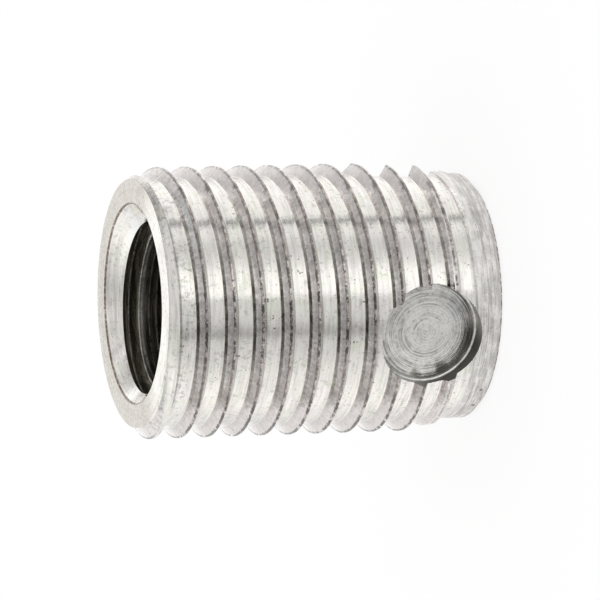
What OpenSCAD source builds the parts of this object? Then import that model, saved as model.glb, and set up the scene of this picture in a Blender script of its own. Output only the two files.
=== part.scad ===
// Self-tapping threaded insert, M10 inside and 14 x 1.5 outside, 18 long.
// It stands on its leading end: z = 0 is the end that cuts its way into the
// hole, and the countersunk mouth that takes the screw is at the top.
// All sizes are in millimetres and the Z axis is the axis of both threads.

/* [Body] */
// Overall length along the axis
body_length = 18; // [12:0.5:30]
// Radial width of the small 45 degree bevel round the leading end
leading_bevel = 0.36; // [0.1:0.02:0.6]
// How far inside the crests the 45 degree bevel of the mouth ends
mouth_bevel = 0.57; // [0.3:0.01:0.8]

/* [Outer thread] */
// Radius over the crests of the ridges
crest_radius = 7; // [6.5:0.1:9]
// Height of the ridges above the plain body
ridge_height = 0.61; // [0.4:0.01:0.8]
// Distance from one ridge to the next
outer_pitch = 1.5; // [1.3:0.05:2.5]
// Width of the flat on the crest
crest_flat = 0.07; // [0.04:0.01:0.12]
// Angle between the two flanks of a ridge
flank_angle = 60; // [50:1:65]
// Angle on the body where the line of the crest would meet the leading plane
thread_start = -6; // [-180:1:180]
// Height above the leading end at which the ridge comes out of the body
taper_start = 1.1; // [0.8:0.1:2]
// Length along the axis over which the ridge grows to its full height
taper_length = 2.2; // [1:0.1:5]

/* [Bore] */
// Radius of the bore, at the crests of the M10 x 1.5 thread
bore_radius = 4.25; // [3.2:0.05:4.4]
// Radial width of the 45 degree countersink at the mouth
mouth_sink = 0.95; // [0.3:0.05:1.1]
// Radial width of the 45 degree countersink at the leading end
leading_sink = 0.85; // [0.3:0.05:1.1]

/* [Chip pockets] */
// Number of blind pockets round the body
pocket_count = 3; // [2:1:4]
// Radius of each pocket
pocket_radius = 2.7; // [1.5:0.1:3]
// Height of the pocket centres above the leading end
pocket_height = 3.85; // [3.5:0.05:8]
// Depth of the flat pocket floors below the crests
pocket_depth = 1.5; // [0.9:0.05:1.7]
// Direction that the first pocket faces
pocket_start = -90; // [-180:1:180]

/* [Hidden] */
$fn = 72;

steel = [0.78, 0.78, 0.77];

// straight pieces in one turn of the ridge
steps_per_turn = 48;
// how far one solid runs past another that cuts it or joins it
overrun = 1;
// how deep the root of the ridge is buried in the body
bury = 0.1;
// clearance from the crests to the form that trims the mouth
trim_clearance = 0.2;

body_radius = crest_radius - ridge_height;
pocket_floor = crest_radius - pocket_depth;
trim_radius = crest_radius + trim_clearance;
flank_run = tan(flank_angle / 2);
taper_slope = ridge_height / taper_length;

// the crest line begins while it is still buried and ends above the mouth
first_height = taper_start - bury / taper_slope;
last_height = body_length + overrun;
first_step = ceil(steps_per_turn * (first_height / outer_pitch - thread_start / 360));
last_step = ceil(steps_per_turn * (last_height / outer_pitch - thread_start / 360));

// angle round the body at one step of the ridge
function step_angle(i) = thread_start + 360 * i / steps_per_turn;

// height of the crest line at one step of the ridge
function step_height(i) = outer_pitch * (step_angle(i) - thread_start) / 360;

// half the width of the ridge at a radius
function half_width(r) = crest_flat / 2 + (crest_radius - r) * flank_run;

// one corner of the ridge: side is -1 below the crest line and 1 above it
function ridge_corner(i, r, side) = let (a = step_angle(i), z = step_height(i) + side * half_width(r))
    [r * cos(a), r * sin(a), z];

// where a flank meets the run-out cone, or the crest above the cone
function cone_radius(z, side) = (body_radius + taper_slope * (z - taper_start + side * half_width(0)))
    / (1 + side * taper_slope * flank_run);
function top_radius(i, side) = max(body_radius - bury / 2,
    min(crest_radius, cone_radius(step_height(i), side)));

// the four corners of the ridge's section at one step
function ridge_section(i) = let (low = body_radius - bury) [
    ridge_corner(i, low, -1),
    ridge_corner(i, low, 1),
    ridge_corner(i, top_radius(i, 1), 1),
    ridge_corner(i, top_radius(i, -1), -1)];

// the outer thread: one long ridge wound round the body
module outer_ridge() {
    corner_count = 4;
    piece_count = last_step - first_step;
    points = [for (i = [first_step : last_step]) each ridge_section(i)];
    sides = [for (i = [0 : piece_count - 1], k = [0 : corner_count - 1])
        let (a = i * corner_count + k, b = i * corner_count + (k + 1) % corner_count)
        each [[a, a + corner_count, b], [b, a + corner_count, b + corner_count]]];
    first_end = [for (k = [0 : corner_count - 1]) k];
    last_end = [for (k = [1 : corner_count]) (piece_count + 1) * corner_count - k];
    polyhedron(points = points, faces = concat(sides, [first_end, last_end]), convexity = 20);
}

// the plain body, running past the mouth plane until the mouth form trims it
module plain_body() {
    rotate_extrude() polygon([
        [0, 0],
        [body_radius - leading_bevel, 0],
        [body_radius, leading_bevel],
        [body_radius, body_length + overrun],
        [0, body_length + overrun]]);
}

// everything that may stay at the mouth: a flat end with a 45 degree outer bevel
module mouth_form() {
    bevel = mouth_bevel + trim_clearance;
    rotate_extrude() polygon([
        [0, -overrun],
        [trim_radius, -overrun],
        [trim_radius, body_length - bevel],
        [trim_radius - bevel, body_length],
        [0, body_length]]);
}

// the bore that carries the screw thread
module bore() {
    translate([0, 0, -overrun])
        cylinder(h = body_length + 2 * overrun, r = bore_radius);
}

// a 45 degree countersink that opens upward at z = 0, wider than the bore by width
module countersink(width) {
    depth = width + bury;
    translate([0, 0, -depth])
        cylinder(h = depth + overrun, r1 = bore_radius - bury, r2 = bore_radius + width + overrun);
}

// one blind, flat floored pocket that crosses the ridges
module chip_pocket() {
    translate([pocket_floor, 0, pocket_height])
        rotate([0, 90, 0])
        cylinder(h = trim_radius - pocket_floor + overrun, r = pocket_radius);
}

module insert_body() {
    color(steel)
    difference() {
        intersection() {
            union() {
                plain_body();
                outer_ridge();
            }
            mouth_form();
        }
        bore();
        translate([0, 0, body_length])
            countersink(mouth_sink);
        mirror([0, 0, 1])
            countersink(leading_sink);
        for (i = [0 : pocket_count - 1])
            rotate([0, 0, pocket_start + 360 * i / pocket_count])
            chip_pocket();
    }
}

insert_body();
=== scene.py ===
"""Threaded insert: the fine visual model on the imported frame, with its looks, light and camera.

The insert stands on its leading end, and +Z runs up its axis to the countersunk mouth. Sizes are in
millimetres, and MM turns them into Blender's metres.
"""

import math

import bpy
import numpy as np
from mathutils import Matrix, Vector


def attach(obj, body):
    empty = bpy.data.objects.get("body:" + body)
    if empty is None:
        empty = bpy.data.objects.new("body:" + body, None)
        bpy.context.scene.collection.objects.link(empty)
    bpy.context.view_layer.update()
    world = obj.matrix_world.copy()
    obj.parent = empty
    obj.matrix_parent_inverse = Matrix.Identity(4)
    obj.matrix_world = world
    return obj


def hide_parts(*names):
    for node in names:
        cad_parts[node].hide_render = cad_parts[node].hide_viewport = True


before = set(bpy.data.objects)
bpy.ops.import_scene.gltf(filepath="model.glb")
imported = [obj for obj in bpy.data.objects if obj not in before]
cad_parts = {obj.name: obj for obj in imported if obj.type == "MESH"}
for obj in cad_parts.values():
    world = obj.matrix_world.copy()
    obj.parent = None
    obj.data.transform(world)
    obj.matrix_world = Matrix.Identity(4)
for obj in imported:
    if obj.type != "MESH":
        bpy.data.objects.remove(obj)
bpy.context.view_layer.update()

# ------------------------------------------------------------------ sizes, in millimetres
MM = 0.001
LENGTH = 18.0
PITCH = 1.5
TAN30 = math.tan(math.radians(30))

# outer thread: the middle of the ridge's crest is at OUTER_START at angle 0, and its two flanks differ
CREST_R = 7.0
ROOT_R = 6.39
CREST_FLAT = 0.07
OUTER_START = 0.025
TAPER_START = 1.1
TAPER_LENGTH = 2.2
RIDGE_BASE = CREST_FLAT / 2 + (CREST_R - ROOT_R) * TAN30
MOUTH_FLANK = math.tan(math.radians(33.5))
LEAD_FLANK = math.tan(math.radians(28))

# inner thread: the middle of its crest is at INNER_START at angle 0, and INNER_LAND is its width
BORE_R = 4.25
INNER_ROOT_R = 4.9
INNER_START = 0.634
INNER_LAND = 0.56

# ends: the mouth's flat ring and countersink, and the leading end's bevel and countersink
MOUTH_FACE_R = 6.43
MOUTH_SINK_R = 5.2
LEADING_BEVEL = 0.36
LEADING_SINK_R = 5.1
LEADING_SINK_DEPTH = 1.0

# corners of the tool that cuts the mouth's countersink: distance in from MOUTH_SINK_R, and depth
MOUTH_SINK_CORNERS = ((1.0, 1.1), (0.84, 0.84), (0.03, 0.03), (0, -0.02), (0, -0.3))

# heights that the uncut body and the tap reach at least, past both ends of the finished steel
BODY_REACH = (-2.2, 20.4)
TAP_REACH = (-1.4, 19.2)

# radius that the bevels run out to, and how far the leading countersink's tool reaches below the end
OUTSIDE_R = 7.6
BELOW_END = 0.4

# the chip in the leading edge is part of a ball
CHIP_BALL_R = 0.9
CHIP_ANGLE = math.radians(-125)
CHIP_FROM_AXIS = 6.98
CHIP_Z = -0.05

# chip pockets: radius, height of the centre, distance of the floor from the insert's axis, how far the
# tool reaches out from the floor, and which way each pocket faces
POCKET_R = 2.7
POCKET_Z = 3.85
POCKET_FLOOR = 5.5
POCKET_REACH = 4.0
POCKET_ANGLES = [math.radians(angle) for angle in (-90, 30, 150)]
POCKET_SPACING = 2 * math.pi / len(POCKET_ANGLES)

# a pocket's floor: uneven rings, and past FALL_START a slight fall toward the rim
FIRST_RING = 0.09
RING_STEP = 0.055
RING_WAVE = 0.005
RING_UNEVENNESS = 0.004
FALL_START = 1.5
FALL_SLOPE = 0.13

# unevenness of the outside: nicks in the crest, its lean to one side, its rounding, and a wavy skin
NICK_DEPTH = 0.012
CREST_LEAN = 0.008
CREST_ROUNDING = 0.012
SKIN_DEPTH = 0.0035
SKIN_LENGTH = 22.0

# facets round the outside, the inner thread, a pocket and the chip
OUTER_COLUMNS = 288
INNER_COLUMNS = 176
POCKET_COLUMNS = 112
CHIP_COLUMNS = 36

# turns in radians that keep the facets of the countersinks and pockets clear of the body's own
SINK_PHASE = 0.003
POCKET_PHASE = 0.01

# the camera: its bearing, height and roll, its distance, and the width that it sees at that distance
AZIMUTH = math.radians(19.5)
ELEVATION = math.radians(18.15)
ROLL = math.radians(1.5)
CAMERA_DISTANCE = 320
VIEW_WIDTH = 31.08
AIM_RIGHT = 0.0518
AIM_DOWN = 0.04144
SENSOR_WIDTH = 36

# level directions: toward the camera, and up in the picture, because the camera is laid over
TO_CAMERA = (math.sin(AZIMUTH), -math.cos(AZIMUTH), 0)
ACROSS_VIEW = (math.cos(AZIMUTH), math.sin(AZIMUTH), 0)

# half the length of the floor's sides
FLOOR_HALF = 2000

rng = np.random.default_rng(7)


# ------------------------------------------------------------------ mesh helpers
def add_object(name, points, faces):
    """A mesh object from points in millimetres and faces of point numbers."""
    mesh = bpy.data.meshes.new(name)
    mesh.from_pydata([tuple(p) for p in points * MM], [], [tuple(int(i) for i in f) for f in faces])
    mesh.update()
    obj = bpy.data.objects.new(name, mesh)
    bpy.context.scene.collection.objects.link(obj)
    return obj


def arc(cx, cy, r, first, last, pieces):
    """Points on an arc round (cx, cy), from the first angle to the last one in degrees."""
    angles = [math.radians(first + (last - first) * i / pieces) for i in range(pieces + 1)]
    return [(cx + r * math.cos(angle), cy + r * math.sin(angle)) for angle in angles]


def turned(name, profile, columns=OUTER_COLUMNS, phase=0.0):
    """A solid of revolution from (radius, height) points that start and end on the axis."""
    phi = np.arange(columns) * 2 * np.pi / columns + phase
    inner = profile[1:-1]
    points = [(0, 0, profile[0][1]), (0, 0, profile[-1][1])]
    for r, z in inner:
        points += [(r * math.cos(a), r * math.sin(a), z) for a in phi]
    faces = []
    for k in range(len(inner) - 1):
        for j in range(columns):
            here, after = 2 + k * columns + j, 2 + k * columns + (j + 1) % columns
            faces.append([here, after, after + columns, here + columns])
    last = 2 + (len(inner) - 1) * columns
    for j in range(columns):
        after = (j + 1) % columns
        faces.append([0, 2 + after, 2 + j])
        faces.append([1, last + j, last + after])
    return add_object(name, np.array(points), faces)


def helical_tube(name, rows, columns, start, reach):
    """A closed solid whose surface winds like a thread, over at least the two heights of its reach.

    rows(crest, along) gives the offsets and radii of the profile's rows over one pitch. A row of turn t
    lies at height PITCH * (t + angle / 2 pi) + start + offset, so that the rows follow the thread.
    """
    low, high = reach
    phi = np.arange(columns) * 2 * np.pi / columns
    turns = np.arange(math.floor((low - start) / PITCH) - 1, math.ceil((high - start) / PITCH) + 1)
    along = turns[:, None] + phi[None, :] / (2 * np.pi)
    crest = PITCH * along + start
    offset, radius = rows(crest, along)
    per_turn = offset.shape[1]
    count = len(turns) * per_turn
    z = crest[:, None, :] + offset
    grid = np.stack([radius * np.cos(phi), radius * np.sin(phi), z], -1)
    points = grid.reshape(-1, 3)

    # after a full turn each row goes on as the row one pitch higher
    index = np.arange(count * columns).reshape(count, columns)
    wrapped = np.full((count, columns + 1), -1)
    wrapped[:, :-1] = index
    wrapped[:-per_turn, -1] = index[per_turn:, 0]
    a, b = wrapped[:-1, :-1], wrapped[:-1, 1:]
    c, d = wrapped[1:, 1:], wrapped[1:, :-1]
    keep = (b >= 0) & (c >= 0)
    faces = np.stack([a[keep], b[keep], c[keep], d[keep]], -1).tolist()

    # a fan closes each end, over one turn and the step of one pitch where that turn meets itself
    bottom = list(index[0]) + [index[k, 0] for k in range(per_turn, 0, -1)]
    top = list(index[-1]) + [index[k, -1] for k in range(count - 2, count - 2 - per_turn, -1)]
    middle = len(points)
    points = np.vstack([points, [[0, 0, points[bottom, 2].mean()], [0, 0, points[top, 2].mean()]]])
    for loop, tip, flip in ((bottom, middle, True), (top, middle + 1, False)):
        for i, j in zip(loop, loop[1:] + loop[:1]):
            faces.append([j, i, tip] if flip else [i, j, tip])
    return add_object(name, points, faces)


def cut(obj, other, operation="DIFFERENCE"):
    """Take the other object away from obj, or keep what they share, and remove the other."""
    modifier = obj.modifiers.new(other.name, "BOOLEAN")
    modifier.solver = "MANIFOLD"
    modifier.operation = operation
    modifier.object = other
    depsgraph = bpy.context.evaluated_depsgraph_get()
    mesh = bpy.data.meshes.new_from_object(obj.evaluated_get(depsgraph))
    obj.modifiers.clear()
    old, obj.data = obj.data, mesh
    bpy.data.meshes.remove(old)
    bpy.data.objects.remove(other)


# ------------------------------------------------------------------ unevenness
def waves(count, low, high, power):
    """Random sine waves, as arrays of whole cycles, phases and weights, which are less on short waves."""
    cycles = rng.integers(low, high, count).astype(float)
    return cycles, rng.uniform(0, 2 * np.pi, count), (low / cycles) ** power / math.sqrt(count)


def ripple(x, y, wave_x, wave_y):
    """Smooth noise over the angles x and y, which closes after a turn."""
    total = np.zeros(np.broadcast(x, y).shape)
    for fx, px, wx, fy, py, wy in zip(*wave_x, *wave_y):
        total += wx * np.sin(fx * x + px + fy * y + py)
    return total


def along_noise(along, wave):
    """Noise along the thread, in turns. It doesn't close after a turn, as the thread doesn't."""
    total = np.zeros(along.shape)
    for cycles, phase, weight in zip(*wave):
        total += weight * np.sin((cycles + 0.37) * along * 2 * np.pi + phase)
    return total


crest_waves = waves(26, 18, 120, 0.4)
lean_waves = waves(14, 9, 70, 0.4)
skin_round, skin_up = waves(40, 2, 46, 0.6), waves(40, 1, 40, 0.2)


# ------------------------------------------------------------------ the steel's shape
def outer_rows(crest, along):
    """One pitch of the outside: root, leading flank, rounded crest, mouth-side flank and root again."""
    top = np.minimum(CREST_R, ROOT_R + (crest - TAPER_START) * (CREST_R - ROOT_R) / TAPER_LENGTH)
    height = np.clip(top - ROOT_R, 0, None)
    nicks = NICK_DEPTH * along_noise(along, crest_waves) * np.clip(height / 0.2, 0, 1)
    height = np.clip(height + nicks - NICK_DEPTH / 2, 0, None)
    lean = CREST_LEAN * along_noise(along, lean_waves)
    level = np.zeros_like(crest)

    rows = [(u + level, ROOT_R + level) for u in (-PITCH / 2, -0.60, -0.47, -RIDGE_BASE - 0.02)]
    shares = (0.03, 0.36, 0.70, 0.90, 0.97)
    flanks = ((-1, RIDGE_BASE, LEAD_FLANK, shares), (1, RIDGE_BASE - 0.02, MOUTH_FLANK, shares[::-1]))
    for side, base, slope, steps in flanks:
        for share in steps:
            rounding = CREST_ROUNDING * (share - 0.9) / 0.07 if share > 0.9 else 0
            width = base - height * share * slope + rounding
            rise = share if share < 0.95 else 0.985
            rows.append((side * width + lean * share, ROOT_R + height * rise))
    rows += [(u + level, ROOT_R + level) for u in (RIDGE_BASE + 0.02, 0.47, 0.60)]

    offset = np.stack([row[0] for row in rows], 1)
    radius = np.stack([row[1] for row in rows], 1)
    z = crest[:, None, :] + offset
    phi = np.arange(OUTER_COLUMNS) * 2 * np.pi / OUTER_COLUMNS
    skin = ripple(phi[None, None], z * 2 * np.pi / SKIN_LENGTH, skin_round, skin_up)
    return offset, radius + SKIN_DEPTH * skin


def inner_rows(crest, along):
    """One pitch of the tap that cuts the inner thread: root, flank, crest, flank and root again."""
    flat = INNER_LAND / 2
    run = (INNER_ROOT_R - BORE_R) * TAN30
    middle = (INNER_ROOT_R + BORE_R) / 2
    profile = [(-PITCH / 2, INNER_ROOT_R), (-flat - run, INNER_ROOT_R), (-flat - run / 2, middle)]
    profile += [(-flat, BORE_R), (0, BORE_R - 0.01), (flat, BORE_R)]
    profile += [(flat + run / 2, middle), (flat + run, INNER_ROOT_R)]
    level = np.zeros_like(crest)
    offset = np.stack([u + level for u, _ in profile], 1)
    radius = np.stack([r + level for _, r in profile], 1)
    return offset, radius


def trim_ends(body):
    """Cut the body to length, with a 45 degree bevel and a slightly rounded edge at each end."""
    lead_edge = arc(ROOT_R - LEADING_BEVEL - 0.02, 0.05, 0.05, -90, -45, 3)
    face_edge = arc(MOUTH_FACE_R - 0.06, LENGTH - 0.06, 0.06, 45, 90, 3)
    edge_r, edge_z = lead_edge[-1]
    bevels = [(OUTSIDE_R, OUTSIDE_R - edge_r + edge_z), (OUTSIDE_R, LENGTH - (OUTSIDE_R - MOUTH_FACE_R))]
    form = [(0, 0)] + lead_edge + bevels + face_edge + [(0, LENGTH)]
    cut(body, turned("form", form), "INTERSECT")


def sink_ends(body):
    """Countersink both ends of the bore."""
    mouth = [(MOUTH_SINK_R - inset, LENGTH - depth) for inset, depth in MOUTH_SINK_CORNERS]
    mouth = [(0, mouth[0][1])] + mouth + [(0, mouth[-1][1])]
    cut(body, turned("mouth_sink", mouth, phase=SINK_PHASE))
    wide = (LEADING_SINK_R + BELOW_END, -BELOW_END)
    narrow = (LEADING_SINK_R - LEADING_SINK_DEPTH, LEADING_SINK_DEPTH)
    lead = [(0, -BELOW_END), wide, narrow, (0, LEADING_SINK_DEPTH)]
    cut(body, turned("leading_sink", lead, phase=SINK_PHASE))


def chip_edge(body):
    """Break a round chip out of the leading edge."""
    ball = [(0, -CHIP_BALL_R)] + arc(0, 0, CHIP_BALL_R, -80, 80, 12) + [(0, CHIP_BALL_R)]
    chip = turned("chip", ball, CHIP_COLUMNS)
    out = CHIP_FROM_AXIS * MM
    centre = (out * math.cos(CHIP_ANGLE), out * math.sin(CHIP_ANGLE), CHIP_Z * MM)
    chip.data.transform(Matrix.Translation(centre))
    cut(body, chip)


def mill_pockets(body):
    """Blind pockets: rings on a floor that falls a little toward the rim, and a small corner radius."""
    rings = [(0.0, 0.0)]
    r = FIRST_RING
    while r < POCKET_R - 0.06:
        fall = FALL_SLOPE * max(0.0, r - FALL_START)
        uneven = rng.uniform(-RING_UNEVENNESS, RING_UNEVENNESS)
        rings.append((r, -fall + RING_WAVE * math.sin(r * 41) + uneven))
        r += RING_STEP
    corner = arc(POCKET_R - 0.05, -0.09, 0.05, -60, 0, 3)
    profile = rings + corner + [(POCKET_R, POCKET_REACH), (0, POCKET_REACH)]
    lay = Matrix.Rotation(math.pi / 2, 4, "Y")
    move = Matrix.Translation((POCKET_FLOOR * MM, 0, POCKET_Z * MM))
    for k, angle in enumerate(POCKET_ANGLES):
        pocket = turned("pocket_%d" % k, profile, POCKET_COLUMNS, POCKET_PHASE)
        pocket.data.transform(Matrix.Rotation(angle, 4, "Z") @ move @ lay)
        cut(body, pocket)


def make_insert():
    """The one piece of steel: threads first, then what is cut from it."""
    body = helical_tube("body", outer_rows, OUTER_COLUMNS, OUTER_START, BODY_REACH)
    trim_ends(body)
    cut(body, helical_tube("tap", inner_rows, INNER_COLUMNS, INNER_START, TAP_REACH))
    sink_ends(body)
    chip_edge(body)
    mill_pockets(body)
    body.name = "insert_steel"
    body.data.name = "insert_steel"
    return body


# ------------------------------------------------------------------ node helpers
class Nodes:
    """Short calls for shader nodes: numbers or sockets go in, a socket comes out."""

    def __init__(self, tree):
        self.tree = tree
        tree.nodes.clear()

    def feed(self, socket, value):
        if isinstance(value, bpy.types.NodeSocket):
            self.tree.links.new(value, socket)
        else:
            socket.default_value = value

    def add(self, kind, inputs=None, **settings):
        made = self.tree.nodes.new("ShaderNode" + kind)
        for key, value in settings.items():
            setattr(made, key, value)
        for key, value in (inputs or {}).items():
            self.feed(made.inputs[key], value)
        return made

    def math(self, operation, *values):
        made = self.add("Math", operation=operation)
        for socket, value in zip(made.inputs, values):
            self.feed(socket, value)
        return made.outputs[0]

    def plus(self, *values):
        total = values[0]
        for value in values[1:]:
            total = self.math("ADD", total, value)
        return total

    def times(self, *values):
        total = values[0]
        for value in values[1:]:
            total = self.math("MULTIPLY", total, value)
        return total

    def minus(self, first, second):
        return self.math("SUBTRACT", first, second)

    def rest(self, share):
        """What a share leaves of 1."""
        return self.minus(1.0, share)

    def most(self, *values):
        total = values[0]
        for value in values[1:]:
            total = self.math("MAXIMUM", total, value)
        return total

    def vector(self, operation, *values):
        made = self.add("VectorMath", operation=operation)
        for socket, value in zip(made.inputs, values):
            self.feed(socket, value)
        return made.outputs["Value" if operation in ("LENGTH", "DOT_PRODUCT") else "Vector"]

    def scale(self, vector, factor):
        return self.add("VectorMath", {0: vector, "Scale": factor}, operation="SCALE").outputs[0]

    def join(self, x=0.0, y=0.0, z=0.0):
        return self.add("CombineXYZ", {0: x, 1: y, 2: z}).outputs[0]

    def fade(self, value, low, high, start=0.0, end=1.0):
        """From start to end as value goes from low to high, level outside that range."""
        ends = {"Value": value, "From Min": low, "From Max": high, "To Min": start, "To Max": end}
        return self.add("MapRange", ends, interpolation_type="SMOOTHSTEP", clamp=True).outputs[0]

    def band(self, value, low, high, soft):
        """1 between low and high, 0 outside, with soft edges."""
        above = self.fade(value, low - soft, low + soft)
        return self.times(above, self.fade(value, high - soft, high + soft, 1, 0))

    def curve(self, value, stops):
        """A level that runs straight from one (value, level) stop to the next. There can be 32 stops."""
        first, last = stops[0][0], stops[-1][0]
        peak = max(level for _, level in stops)
        made = self.add("ValToRGB", {0: self.times(self.minus(value, first), 1 / (last - first))})
        points = made.color_ramp.elements
        for place, _ in stops[1:-1]:
            points.new((place - first) / (last - first))
        for point, (place, level) in zip(points, stops):
            point.position = (place - first) / (last - first)
            point.color = (level / peak, level / peak, level / peak, 1)
        return self.times(made.outputs[0], peak)

    def noise(self, place, scale, detail=3.0, roughness=0.55):
        inputs = {"Vector": place, "Scale": scale, "Detail": detail, "Roughness": roughness}
        return self.add("TexNoise", inputs).outputs[0]

    def shade(self, colour, *factors):
        """A colour made darker or lighter by factors."""
        plain = colour[:3] if isinstance(colour, tuple) else colour
        return self.scale(plain, self.times(*factors))

    def blend(self, share, first, second):
        """From the first colour to the second as share goes from 0 to 1."""
        made = self.add("Mix", {0: share, 6: first, 7: second}, data_type="RGBA")
        return made.outputs[2]


def material(name):
    made = bpy.data.materials.new(name)
    made.use_nodes = True
    return made, Nodes(made.node_tree)


# ------------------------------------------------------------------ what all the steel surfaces share
WARM_PLATE = (0.96, 0.938, 0.875, 1)
PINK_PLATE = (0.96, 0.920, 0.890, 1)
GREEN_PLATE = (0.90, 0.905, 0.80, 1)


def steel_fields(n):
    """Named position fields in millimetres, and the noises that the steel surfaces share.

    front is 1 on the side of the camera and -1 on the far side, upper is 1 at the top of the picture and
    -1 at its bottom, and oiled is 1 on the near and far sides and 0 at the top and bottom.
    """
    f = {}
    place = n.scale(n.add("TexCoord").outputs["Object"], 1 / MM)
    f["place"] = place
    f["x"], f["y"], f["z"] = n.add("SeparateXYZ", {0: place}).outputs
    f["radius"] = n.vector("LENGTH", n.join(f["x"], f["y"]))
    f["angle"] = n.math("ARCTAN2", f["y"], f["x"])
    f["front"] = n.math("DIVIDE", n.vector("DOT_PRODUCT", place, TO_CAMERA), f["radius"])
    f["upper"] = n.math("DIVIDE", n.vector("DOT_PRODUCT", place, ACROSS_VIEW), f["radius"])
    # the near and far sides together, which the layers use to place painted light and shade
    f["oiled"] = n.math("ABSOLUTE", f["front"])
    f["grain"] = n.noise(place, 6.0, 4.0, 0.70)
    f["fine"] = n.noise(place, 20.0, 3.0, 0.6)
    f["blotch"] = n.noise(place, 0.8, 3.0, 0.5)
    f["cluster"] = n.noise(place, 1.5, 3.0, 0.6)
    f["smudge"] = n.noise(place, 4.0, 2.0, 0.7)
    f["specks"] = n.noise(place, 9.0, 1.0, 0.5)
    f["turned"] = n.noise(n.vector("MULTIPLY", place, (0.5, 0.5, 6.0)), 1.0, 4.0, 0.6)
    f["turned_fine"] = n.noise(n.vector("MULTIPLY", place, (0.8, 0.8, 16.0)), 1.0, 3.0, 0.6)
    return f


def across_thread(n, f, start):
    """Distance up from a thread's crest line, from -PITCH / 2 to PITCH / 2."""
    rise = n.math("DIVIDE", n.minus(f["z"], start), PITCH)
    phase = n.minus(rise, n.math("DIVIDE", f["angle"], 2 * math.pi))
    return n.times(n.math("WRAP", phase, 0.5, -0.5), PITCH)


def base_steel(n, f):
    """The plated colour with its tinted patches, turning streaks and specks, before wear and dirt."""
    colour = n.blend(n.fade(f["blotch"], 0.40, 0.60), WARM_PLATE, PINK_PLATE)
    colour = n.blend(n.fade(n.noise(f["place"], 1.1, 2.0), 0.56, 0.70), colour, GREEN_PLATE)
    smudge = n.times(n.fade(f["smudge"], 0.48, 0.70), n.fade(f["cluster"], 0.42, 0.58, 0.25, 1.0))
    streaks = n.fade(f["turned"], 0.32, 0.60, 0.85, 1.04)
    lines = n.fade(f["turned_fine"], 0.34, 0.58, 0.93, 1.0)
    specks = n.fade(f["specks"], 0.70, 0.78, 1.0, 0.6)
    return n.shade(colour, streaks, lines, n.fade(smudge, 0.0, 1.0, 1.0, 0.76), specks)


def round_the_axis(n):
    return n.add("Tangent", direction_type="RADIAL", axis="Z").outputs[0]


def finish(n, colour, rough, relief, depth, anisotropy, tangent, metallic=1.0):
    """The output: metal with its gloss stretched across the tool marks, and their relief in millimetres."""
    bump = n.add("Bump", {"Height": relief, "Strength": 1.0, "Distance": depth * MM})
    looks = {"Base Color": colour, "Metallic": metallic, "Roughness": rough, "Normal": bump.outputs[0],
             "Anisotropic": anisotropy, "Anisotropic Rotation": 0.25, "Tangent": tangent}
    n.add("OutputMaterial", {"Surface": n.add("BsdfPrincipled", looks).outputs[0]})


# ------------------------------------------------------------------ body, ridges and leading end
FRONT_FLANK = (0.86, 0.885, 0.89, 1)
SIDE_FLANK = (0.86, 0.85, 0.84, 1)
LOW_FLANK = (0.93, 0.90, 0.88, 1)
LEAD_FLANK_LIGHT = (0.77, 0.70, 0.66, 1)
LEAD_FLANK_DARK = (0.52, 0.47, 0.445, 1)
LEAD_FLANK_SIDE = (0.88, 0.83, 0.80, 1)
LEAD_FOOT = (0.95, 0.87, 0.83, 1)
PALE_SIDE_LIGHT = (0.89, 0.84, 0.82, 1)
CREST_DIRT_AND_SHADE = (0.11, 0.10, 0.092, 1)
HIGH_EDGE_DARK = (0.20, 0.19, 0.18, 1)
CORNER_SHADE = (0.08, 0.073, 0.062, 1)
PIT = (0.16, 0.12, 0.10, 1)
DULL_END = (0.90, 0.865, 0.845, 1)
RUST = (0.26, 0.17, 0.14, 1)

# painted light and shade on the mouth-side flanks, from the bottom of the picture (-1) to its top (1)
FLANK_LIGHT_AND_SHADE = [(-1, 0.90), (-0.82, 0.80), (-0.74, 0.66), (-0.64, 0.97), (-0.40, 0.95), (-0.27, 1.03),
               (-0.04, 1.02), (0.08, 0.93), (0.20, 0.93), (0.34, 1.04), (0.47, 1.14), (0.72, 1.18),
               (0.82, 1.06), (1, 1.0)]

# the leading end: both edges of each scored line, and angle in degrees and height of each rust pit
SCORED_LINES = ((0.84, 0.88), (1.09, 1.12), (0.52, 0.55))
RUST_PITS = ((-121, 0.59), (-134, 0.60))


def ridge_fields(n, f):
    """Where a place lies on the ridge, and the noises that wear and dirt there share."""
    f["across"] = across_thread(n, f, OUTER_START)
    f["height"] = n.minus(f["radius"], ROOT_R)
    f["wobble"] = n.times(n.minus(f["grain"], 0.5), 0.14)
    bevel = LENGTH + MOUTH_FACE_R
    at_mouth = n.fade(n.plus(f["z"], f["radius"]), bevel - 0.12, bevel - 0.04)
    f["ridge"] = n.times(n.fade(f["height"], 0.02, 0.07), n.rest(at_mouth))
    f["tall"] = n.fade(n.minus(f["z"], f["across"]), TAPER_START + 0.9, TAPER_START + 1.8)
    f["mouth_side"] = n.fade(n.plus(f["across"], f["wobble"]), 0.02, 0.06)
    below_top = n.fade(f["upper"], 0.05, 0.45, 1.0, 0.55)
    f["near"] = n.times(below_top, n.fade(f["upper"], -0.30, -0.60, 1.0, 0.55))
    mottle = n.times(n.fade(f["grain"], 0.36, 0.64, 1.15, 0.78), n.fade(f["smudge"], 0.35, 0.65, 1.08, 0.86))
    calm = n.fade(f["oiled"], 0.30, 0.60, 0.30, 1.0)
    f["mottle"] = n.plus(1.0, n.times(n.minus(mottle, 1.0), calm))


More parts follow.
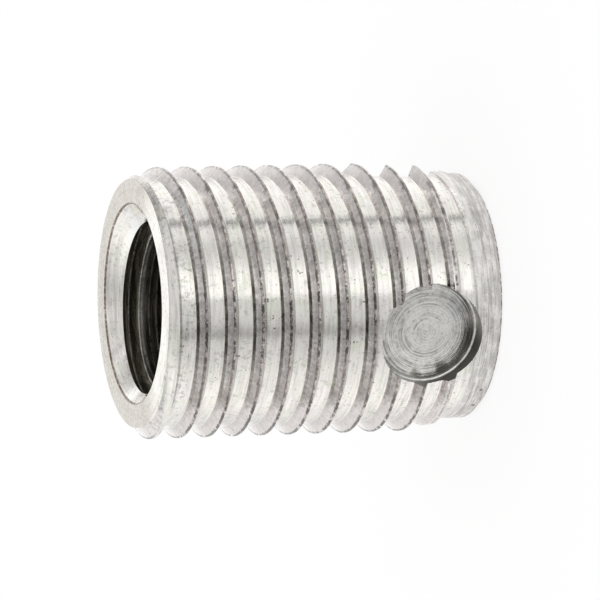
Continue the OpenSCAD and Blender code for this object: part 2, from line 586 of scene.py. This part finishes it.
def mouth_flank(n, f, colour):
    """Grey mouth-side flanks, bluer on the near and far sides, with painted light and shade that change round
    the body.
    """
    flank = n.blend(n.fade(f["oiled"], 0.60, 0.85), SIDE_FLANK, FRONT_FLANK)
    flank = n.blend(f["tall"], LOW_FLANK, flank)
    flank = n.shade(flank, f["mottle"], n.curve(f["upper"], FLANK_LIGHT_AND_SHADE))
    return n.blend(n.times(f["ridge"], f["mouth_side"], 0.9), colour, flank)


def leading_flank(n, f, colour):
    """Duller, pinkish flanks that face the leading end: darker on the near and far sides, which is painted
    shade, and lighter at the top and bottom of the picture and at their foot.
    """
    flank = n.blend(n.fade(f["turned"], 0.3, 0.6), LEAD_FLANK_LIGHT, LEAD_FLANK_DARK)
    flank = n.blend(n.fade(f["oiled"], 0.35, 0.60), LEAD_FLANK_SIDE, flank)
    foot = n.times(n.fade(f["height"], 0.38, 0.16), n.fade(f["cluster"], 0.36, 0.56, 0.35, 0.75))
    flank = n.blend(foot, flank, LEAD_FOOT)
    share = n.times(f["ridge"], n.rest(f["mouth_side"]), f["tall"])
    return n.blend(share, colour, n.shade(flank, f["mottle"]))


def painted_side_light(n, f, colour):
    """Painted light: a pale, dull colour on the mouth-side flanks where they turn away from the camera's
    side.
    """
    turned_away = n.plus(f["oiled"], n.times(f["wobble"], 0.5), n.times(f["height"], -0.22))
    f["filmed"] = n.times(f["ridge"], f["mouth_side"], n.fade(turned_away, 0.53, 0.47))
    freckles = n.times(n.fade(f["smudge"], 0.38, 0.62, 1.07, 0.90), n.fade(f["fine"], 0.42, 0.62, 1.03, 0.90))
    side_light = n.shade(PALE_SIDE_LIGHT, freckles, n.fade(f["upper"], -0.5, 0.5, 1.0, 0.93))
    return n.blend(n.times(f["filmed"], 0.9), colour, side_light)


def crest_wear_and_shade(n, f, colour):
    """Dark dashes along the crests, partly wear and partly painted shade, and dark edges high in the picture.
    """
    sides = n.fade(f["oiled"], 0.55, 0.35)
    dashes = n.fade(n.plus(n.noise(f["place"], 2.4, 3.0, 0.7), n.times(sides, 0.07)), 0.44, 0.54)
    line = n.band(n.plus(f["across"], f["wobble"]), -0.09, 0.03, 0.02)
    crest = n.times(line, n.fade(f["height"], 0.12, 0.3), f["ridge"])
    reach = n.plus(n.times(f["near"], 0.95), n.fade(f["upper"], -0.68, -0.76, 0.0, 0.35))
    colour = n.blend(n.times(crest, dashes, f["tall"], reach), colour, CREST_DIRT_AND_SHADE)
    edge = n.times(n.band(f["upper"], 0.80, 0.86, 0.02), n.fade(f["height"], 0.30, 0.45))
    edge = n.times(edge, n.fade(f["across"], 0.16, 0.08), n.fade(f["cluster"], 0.40, 0.58), f["tall"])
    return n.blend(n.times(edge, 0.8), colour, HIGH_EDGE_DARK)


def handling(n, f, colour):
    """Smudges near the mouth."""
    smudge = n.times(n.fade(f["smudge"], 0.42, 0.64), n.fade(f["cluster"], 0.35, 0.55, 0.4, 1.0))
    smudge = n.times(smudge, n.fade(f["z"], 16.3, 16.9))
    return n.shade(colour, n.fade(smudge, 0.0, 1.0, 1.0, 0.82))


def corner_shade(n, f, colour):
    """Painted shade: the dark line in the corner at the foot of each mouth-side flank."""
    corner = n.band(f["across"], RIDGE_BASE - 0.155, RIDGE_BASE - 0.045, 0.02)
    corner = n.times(corner, n.fade(f["height"], 0.26, 0.20))
    shade_strength = n.times(n.fade(f["cluster"], 0.40, 0.60, 0.82, 1.0), n.fade(f["oiled"], 0.55, 0.80, 0.12, 1.0))
    shade_strength = n.times(shade_strength, f["near"], n.fade(f["z"], 17.6, 17.0, 0.4, 1.0))
    shade_strength = n.times(shade_strength, n.fade(f["tall"], 0.0, 1.0, 0.55, 1.0))
    return n.blend(n.times(corner, shade_strength), colour, CORNER_SHADE)


def pits(n, f, colour):
    """Small dark pits all over."""
    pitted = n.fade(n.noise(f["place"], 3.4, 2.0, 0.7), 0.700, 0.725)
    return n.blend(n.times(pitted, 0.85), colour, PIT)


def leading_end(n, f, colour):
    """The leading end: duller and pinkish, with scored lines, a browned edge and two rust pits."""
    f["end"] = n.times(n.fade(f["z"], 1.9, 1.0), n.fade(f["cluster"], 0.30, 0.55, 0.7, 1.0))
    wander = n.plus(f["z"], n.times(n.minus(f["blotch"], 0.5), 0.25))
    scores = n.plus(*[n.band(wander, low, high, 0.02) for low, high in SCORED_LINES])
    scores = n.times(scores, n.fade(f["smudge"], 0.30, 0.56))
    dull = n.shade(DULL_END, n.fade(scores, 0.0, 1.0, 1.0, 0.50), n.fade(f["turned"], 0.38, 0.60, 0.72, 1.16),
                   n.fade(f["cluster"], 0.40, 0.60, 0.80, 1.13), n.fade(f["fine"], 0.42, 0.60, 1.06, 0.82))
    colour = n.blend(n.times(f["end"], 0.8), colour, dull)
    brown = n.times(n.fade(n.plus(f["z"], f["wobble"]), 0.16, 0.06), n.fade(f["smudge"], 0.38, 0.56))
    for angle, rise in RUST_PITS:
        turn = math.radians(angle)
        pit = (ROOT_R * math.cos(turn), ROOT_R * math.sin(turn), rise)
        away = n.vector("LENGTH", n.vector("SUBTRACT", f["place"], pit))
        brown = n.plus(brown, n.fade(n.plus(away, f["wobble"]), 0.14, 0.05))
    return n.blend(n.times(n.fade(brown, 0.0, 1.0), 0.85), colour, RUST)


def turned_steel():
    """Body, ridges and ends: turning marks run round the axis, so gloss spreads along it."""
    made, n = material("turned_steel")
    f = steel_fields(n)
    ridge_fields(n, f)
    colour = base_steel(n, f)
    on_ridges = (mouth_flank, leading_flank, painted_side_light, crest_wear_and_shade)
    for layer in on_ridges + (handling, corner_shade, pits, leading_end):
        colour = layer(n, f, colour)
    grit = n.times(n.minus(f["grain"], 0.5), 0.30)
    rough = n.plus(0.15, grit, n.times(f["ridge"], -0.02), n.times(f["end"], 0.42))
    relief = n.plus(n.times(f["turned"], 0.9), n.times(f["turned_fine"], 0.35))
    relief = n.plus(relief, n.times(f["grain"], 0.55), n.times(f["fine"], 0.25))
    # the leading end and the painted light on the sides are less metallic
    dulled = n.most(n.times(f["end"], 0.55), n.times(f["filmed"], 0.6))
    finish(n, colour, rough, relief, 0.006, 0.95, round_the_axis(n), n.rest(dulled))
    return made


# ------------------------------------------------------------------ mouth
LIGHT_STAIN = (0.59, 0.565, 0.50, 1)
DARK_STAIN = (0.53, 0.49, 0.43, 1)
LIP_BROWN = (0.22, 0.17, 0.14, 1)


def mouth_steel():
    """The flat ring, bevel and countersink of the mouth: finer concentric marks, stained at the lip."""
    made, n = material("mouth_steel")
    f = steel_fields(n)
    lathe_marks = n.join(n.times(f["radius"], 7.0), n.times(f["x"], 0.3), n.times(f["y"], 0.3))
    rings = n.noise(lathe_marks, 1.0, 4.0, 0.6)
    colour = base_steel(n, f)
    past_sink = n.fade(f["radius"], MOUTH_SINK_R - 0.03, MOUTH_SINK_R + 0.01)
    face = n.times(n.fade(f["z"], LENGTH - 0.1, LENGTH - 0.02), past_sink)
    stain = n.blend(n.fade(f["cluster"], 0.42, 0.58), LIGHT_STAIN, DARK_STAIN)
    stained = n.times(face, n.fade(f["front"], 0.30, 0.75, 0.9, 0.0))
    colour = n.blend(stained, colour, n.shade(stain, n.fade(f["grain"], 0.42, 0.66, 1.05, 0.76)))

    # painted light: the countersink is lighter at its sides in the picture, and lighter still in a band near
    # the bore high in the picture
    in_sink = n.fade(f["radius"], MOUTH_SINK_R - 0.05, MOUTH_SINK_R - 0.12)
    near_bore = n.fade(f["radius"], MOUTH_SINK_R - 0.52, MOUTH_SINK_R - 0.62)
    glow = n.fade(n.times(near_bore, n.fade(f["upper"], 0.0, 0.4)), 0.0, 1.0, 1.0, 1.15)
    bright = n.times(n.fade(f["oiled"], 0.25, 0.85, 1.12, 0.94), glow)
    colour = n.shade(colour, n.fade(rings, 0.30, 0.55, 0.86, 1.0), n.fade(in_sink, 0.0, 1.0, 1.0, bright))

    # brown on the countersink's edge, and fainter rings on the face and at its outer edge
    lip = n.band(f["radius"], MOUTH_SINK_R - 0.09, MOUTH_SINK_R, 0.015)
    lip = n.times(lip, n.fade(f["z"], 17.85, 17.9), 1.2)
    lip = n.plus(lip, n.times(n.band(f["radius"], MOUTH_SINK_R + 0.27, MOUTH_SINK_R + 0.31, 0.02), 0.25))
    lip = n.plus(lip, n.times(n.band(f["radius"], MOUTH_FACE_R - 0.03, MOUTH_FACE_R + 0.03, 0.03), 0.25))
    lip = n.times(n.fade(lip, 0.0, 1.2, 0.0, 1.1), n.fade(f["grain"], 0.34, 0.52, 0.35, 0.9))
    colour = n.blend(lip, colour, LIP_BROWN)

    rough = n.plus(0.16, n.times(n.minus(f["grain"], 0.5), 0.30))
    relief = n.plus(n.times(rings, 0.9), n.times(f["grain"], 0.6), n.times(f["fine"], 0.25))
    finish(n, colour, rough, relief, 0.006, 0.90, round_the_axis(n))
    return made


# ------------------------------------------------------------------ inner thread
THREAD_DARK = (0.10, 0.086, 0.060, 1)
THREAD_LIGHT = (0.36, 0.33, 0.27, 1)
THREAD_CREST = (0.46, 0.44, 0.41, 1)
THREAD_HIGHLIGHT = (0.92, 0.89, 0.85, 1)


def thread_steel():
    """The inner thread: painted dark as shade, lighter on its crests, with painted highlight lines on its
    crests and corners.
    """
    made, n = material("thread_steel")
    f = steel_fields(n)
    across = across_thread(n, f, INNER_START)
    on_crest = n.fade(f["radius"], BORE_R + 0.12, BORE_R + 0.05)
    half = INNER_LAND / 2
    colour = n.blend(n.fade(f["turned"], 0.42, 0.62), THREAD_DARK, THREAD_LIGHT)
    land = n.times(n.fade(across, half - 0.34, half - 0.18), n.fade(across, half + 0.02, half - 0.02))
    land = n.times(land, on_crest)
    colour = n.blend(n.times(land, 0.8), colour, THREAD_CREST)

    # painted highlights: a light line on the crest's upper edge, a second one beside it, and a fainter one on
    # its lower edge
    edge = n.band(across, half - 0.035, half + 0.03, 0.015)
    apart = n.fade(f["oiled"], 0.3, 1.0, 0.10, 0.0)
    second = n.band(n.plus(across, apart), half - 0.185, half - 0.075, 0.02)
    lower = n.times(n.band(across, -half, 0.05 - half, 0.03), 0.75)
    lines = n.times(n.most(edge, second, lower), on_crest)
    corner = n.times(n.band(across, PITCH / 2 - 0.12, PITCH / 2 - 0.05, 0.02),
                     n.fade(f["radius"], INNER_ROOT_R - 0.12, INNER_ROOT_R - 0.06), 0.8)
    bright = n.times(n.most(lines, corner), n.fade(f["cluster"], 0.38, 0.55, 0.45, 1.0))
    colour = n.blend(bright, colour, THREAD_HIGHLIGHT)

    # painted shade: the turns farther in are darker
    colour = n.shade(colour, n.fade(f["z"], 14.9, 15.4, 0.3, 1.0))
    rough = n.plus(0.22, n.times(f["grain"], 0.14))
    relief = n.plus(f["turned"], n.times(f["grain"], 0.2))
    finish(n, colour, rough, relief, 0.006, 0.8, round_the_axis(n))
    return made


# ------------------------------------------------------------------ pockets
MILLED = (0.95, 0.935, 0.895, 1)
MILLED_GROOVE = (0.40, 0.39, 0.37, 1)
WALL = (0.33, 0.31, 0.29, 1)
SHADED_WALL = (0.03, 0.028, 0.025, 1)


def milled_steel():
    """Pocket floors and walls: cutter marks run round each pocket's own axis."""
    made, n = material("milled_steel")
    f = steel_fields(n)

    # from the nearest pocket's axis: side goes round the insert, rise goes up it, and depth points outward
    swing = n.math("WRAP", n.minus(f["angle"], POCKET_ANGLES[0]), POCKET_SPACING / 2, -POCKET_SPACING / 2)
    sine, cosine = n.math("SINE", swing), n.math("COSINE", swing)
    side, depth = n.times(f["radius"], sine), n.times(f["radius"], cosine)
    rise = n.minus(f["z"], POCKET_Z)
    spread = n.vector("LENGTH", n.join(side, rise))
    above_floor = n.fade(depth, POCKET_FLOOR - 0.08, POCKET_FLOOR - 0.02)
    wall = n.times(n.fade(spread, POCKET_R - 0.05, POCKET_R - 0.01), above_floor)

    # the cutter marks' direction, from a level unit vector across the pocket
    radial = n.vector("NORMALIZE", n.vector("MULTIPLY", f["place"], (1, 1, 0)))
    round_z = n.vector("CROSS_PRODUCT", (0, 0, 1), radial)
    level = n.vector("ADD", n.scale(radial, sine), n.scale(round_z, cosine))
    marks = n.vector("SUBTRACT", n.join(z=side), n.scale(level, rise))
    tangent = n.vector("NORMALIZE", marks)

    cutter_marks = n.join(n.times(spread, 9.0), n.times(side, 0.25), n.times(rise, 0.25))
    rings = n.noise(cutter_marks, 1.6, 4.0, 0.65)
    deep = n.plus(n.fade(spread, 1.0, 2.1, 0.0, 0.35), n.fade(f["cluster"], 0.40, 0.62, 0.15, 0.65))
    groove = n.times(n.fade(rings, 0.60, 0.38), n.fade(deep, 0.0, 1.0))
    colour = n.blend(groove, MILLED, MILLED_GROOVE)
    colour = n.shade(colour, n.fade(f["grain"], 0.50, 0.66, 1.0, 0.80))
    # painted shade: the walls are dark grey, and near black over part of their round
    shaded = n.most(n.fade(n.plus(side, rise), -1.8, -3.2), n.fade(side, 0.5, 1.5))
    colour = n.blend(n.times(wall, 0.95), colour, n.blend(shaded, WALL, SHADED_WALL))
    relief = n.plus(rings, n.times(f["fine"], 0.12))
    finish(n, colour, n.plus(0.07, n.times(rings, 0.05)), relief, 0.012, 0.93, tangent)
    return made


# ------------------------------------------------------------------ which face has which steel
OUTSIDE, THREAD, POCKET, MOUTH = range(4)


def dress(obj):
    """Give each face its surface by where it lies: outside, inner thread, pocket or mouth."""
    mesh = obj.data
    mesh.materials.clear()
    for made in (turned_steel(), thread_steel(), milled_steel(), mouth_steel()):
        mesh.materials.append(made)
    count = len(mesh.polygons)
    centre = np.empty(count * 3)
    normal = np.empty(count * 3)
    mesh.polygons.foreach_get("center", centre)
    mesh.polygons.foreach_get("normal", normal)
    x, y, z = centre.reshape(-1, 3).T / MM
    lean = normal.reshape(-1, 3)[:, 2]
    radius = np.hypot(x, y)
    half = POCKET_SPACING / 2
    swing = (np.arctan2(y, x) - POCKET_ANGLES[0] + half) % POCKET_SPACING - half
    spread = np.hypot(radius * np.sin(swing), z - POCKET_Z)

    # the mouth's countersink is told from the thread that it meets by how its faces lean
    in_pocket = (spread < POCKET_R + 0.01) & (radius > INNER_ROOT_R + 0.2)
    sunk = (z > LENGTH - 1.15) & (radius < MOUTH_SINK_R) & (lean > 0.40) & (lean < 0.78)
    below_mouth = (z - radius < LENGTH - MOUTH_SINK_R + 0.01) & ~sunk
    above_lead = z + radius > LEADING_SINK_R + 0.02
    at_mouth = (z > LENGTH - 0.03) | (z - radius > LENGTH - MOUTH_SINK_R - 0.05)
    on_bevel = z + radius > LENGTH + MOUTH_FACE_R - 0.03

    index = np.full(count, OUTSIDE)
    index[(radius < INNER_ROOT_R + 0.03) & below_mouth & above_lead] = THREAD
    index[in_pocket] = POCKET
    index[(index == OUTSIDE) & (at_mouth | on_bevel)] = MOUTH
    mesh.polygons.foreach_set("material_index", index)
    mesh.set_sharp_from_angle(angle=math.radians(32))
    mesh.update()


body = make_insert()
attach(body, "root")
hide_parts("insert_body")
dress(body)


# ------------------------------------------------------------------ floor
def lay_floor():
    """A pale floor that holds the insert's shadow and stays out of its reflections."""
    corners = [(x * FLOOR_HALF, y * FLOOR_HALF, 0) for x, y in ((-1, -1), (1, -1), (1, 1), (-1, 1))]
    floor = add_object("floor", np.array(corners), [(0, 1, 2, 3)])
    floor.visible_glossy = False
    pale, n = material("pale_floor")
    share = n.times(n.add("LightPath").outputs["Is Camera Ray"], 0.8)
    diffuse = n.add("BsdfDiffuse", {"Color": (0.9, 0.9, 0.9, 1)})
    glow = n.add("Emission", {"Strength": 1.03})
    mix = n.add("MixShader", {0: share, 1: diffuse.outputs[0], 2: glow.outputs[0]})
    n.add("OutputMaterial", {"Surface": mix.outputs[0]})
    floor.data.materials.append(pale)


# ------------------------------------------------------------------ light
# what the steel mirrors at each bearing, in degrees round from the camera's side
ROOM = [(-180, 1.05), (-170, 1.05), (-160, 0.76), (-132, 0.83), (-118, 0.93), (-96, 0.95), (-72, 0.80),
        (-60, 0.71), (-40, 0.61), (-36, 0.61), (-34, 0.36), (-28, 0.42), (-20, 0.60), (-8, 0.66), (2, 0.66),
        (4, 1.06), (26, 1.01), (33, 0.78), (48, 0.64), (54, 0.64), (62, 0.78), (70, 0.84), (74, 0.78),
        (76, 0.17), (79, 0.17), (81, 0.82), (96, 0.89), (124, 1.04), (142, 1.03), (157, 0.78), (164, 1.02),
        (180, 1.05)]
ROOM_LEVEL = 1.06
CEILING_LEVEL = 0.68
COOL_FLOOR = (0.93, 0.97, 1.0, 1)

# a grey card: bearing and rise of its centre, how far it reaches at full and in all, and its level
CARD_BEARING, CARD_RISE = math.radians(139), math.radians(46)
CARD_FULL, CARD_REACH = math.radians(17), math.radians(31)
CARD_LEVEL = 0.46


def light_room():
    """A world that lights the insert evenly in white, while the steel mirrors a room of several greys."""
    world = bpy.data.worlds.new("studio")
    bpy.context.scene.world = world
    world.use_nodes = True
    n = Nodes(world.node_tree)
    way = n.add("TexCoord").outputs["Generated"]
    across, toward = n.vector("DOT_PRODUCT", way, ACROSS_VIEW), n.vector("DOT_PRODUCT", way, TO_CAMERA)
    bearing = n.times(n.math("ARCTAN2", across, toward), 180 / math.pi)
    rise = n.times(n.math("ARCSINE", n.add("SeparateXYZ", {0: way}).outputs[2]), 180 / math.pi)
    low_part = n.times(n.fade(rise, -42, -20, 0.85, 1.0), n.fade(rise, -75, -45, 0.85, 1.0))
    walls = n.times(n.curve(bearing, ROOM), ROOM_LEVEL, low_part)
    overhead = n.fade(rise, 52, 70)
    studio = n.plus(n.times(walls, n.rest(overhead)), n.times(overhead, CEILING_LEVEL))

    a = AZIMUTH + CARD_BEARING
    toward_card = (math.sin(a) * math.cos(CARD_RISE), -math.cos(a) * math.cos(CARD_RISE), math.sin(CARD_RISE))
    closeness = n.vector("DOT_PRODUCT", way, toward_card)
    card = n.fade(closeness, math.cos(CARD_REACH), math.cos(CARD_FULL))
    studio = n.plus(n.times(studio, n.rest(card)), n.times(card, CARD_LEVEL))

    mirrored = n.add("LightPath").outputs["Is Glossy Ray"]
    strength = n.plus(n.times(mirrored, n.minus(studio, 1.0)), 1.0)
    tint = n.blend(n.times(mirrored, n.fade(rise, -26, -34)), (1, 1, 1, 1), COOL_FLOOR)
    background = n.add("Background", {"Color": tint, "Strength": strength})
    n.add("OutputWorld", {"Surface": background.outputs[0]})


# ------------------------------------------------------------------ camera
def place_camera():
    """Look at the standing insert with the camera laid over, so that it lies on its side in the picture."""
    bpy.context.scene.view_settings.view_transform = "Standard"
    level, plumb = Vector(TO_CAMERA), Vector((0, 0, 1))
    across = plumb.cross(level)
    back = level * math.cos(ELEVATION) + plumb * math.sin(ELEVATION)
    down = level * math.sin(ELEVATION) - plumb * math.cos(ELEVATION)
    right = down * math.cos(ROLL) - across * math.sin(ROLL)
    top = down * math.sin(ROLL) + across * math.cos(ROLL)
    camera = bpy.data.objects.new("camera", bpy.data.cameras.new("camera"))
    bpy.context.scene.collection.objects.link(camera)
    camera.data.sensor_width = SENSOR_WIDTH
    camera.data.lens = SENSOR_WIDTH * CAMERA_DISTANCE / VIEW_WIDTH
    camera.data.clip_start, camera.data.clip_end = 0.01, 10
    aim = Vector((0, 0, LENGTH / 2 * MM)) + right * (AIM_RIGHT * MM) - top * (AIM_DOWN * MM)
    place = aim + back * (CAMERA_DISTANCE * MM)
    turn = Matrix((right, top, back)).transposed().to_4x4()
    camera.matrix_world = Matrix.Translation(place) @ turn
    bpy.context.scene.camera = camera


lay_floor()
light_room()
place_camera()
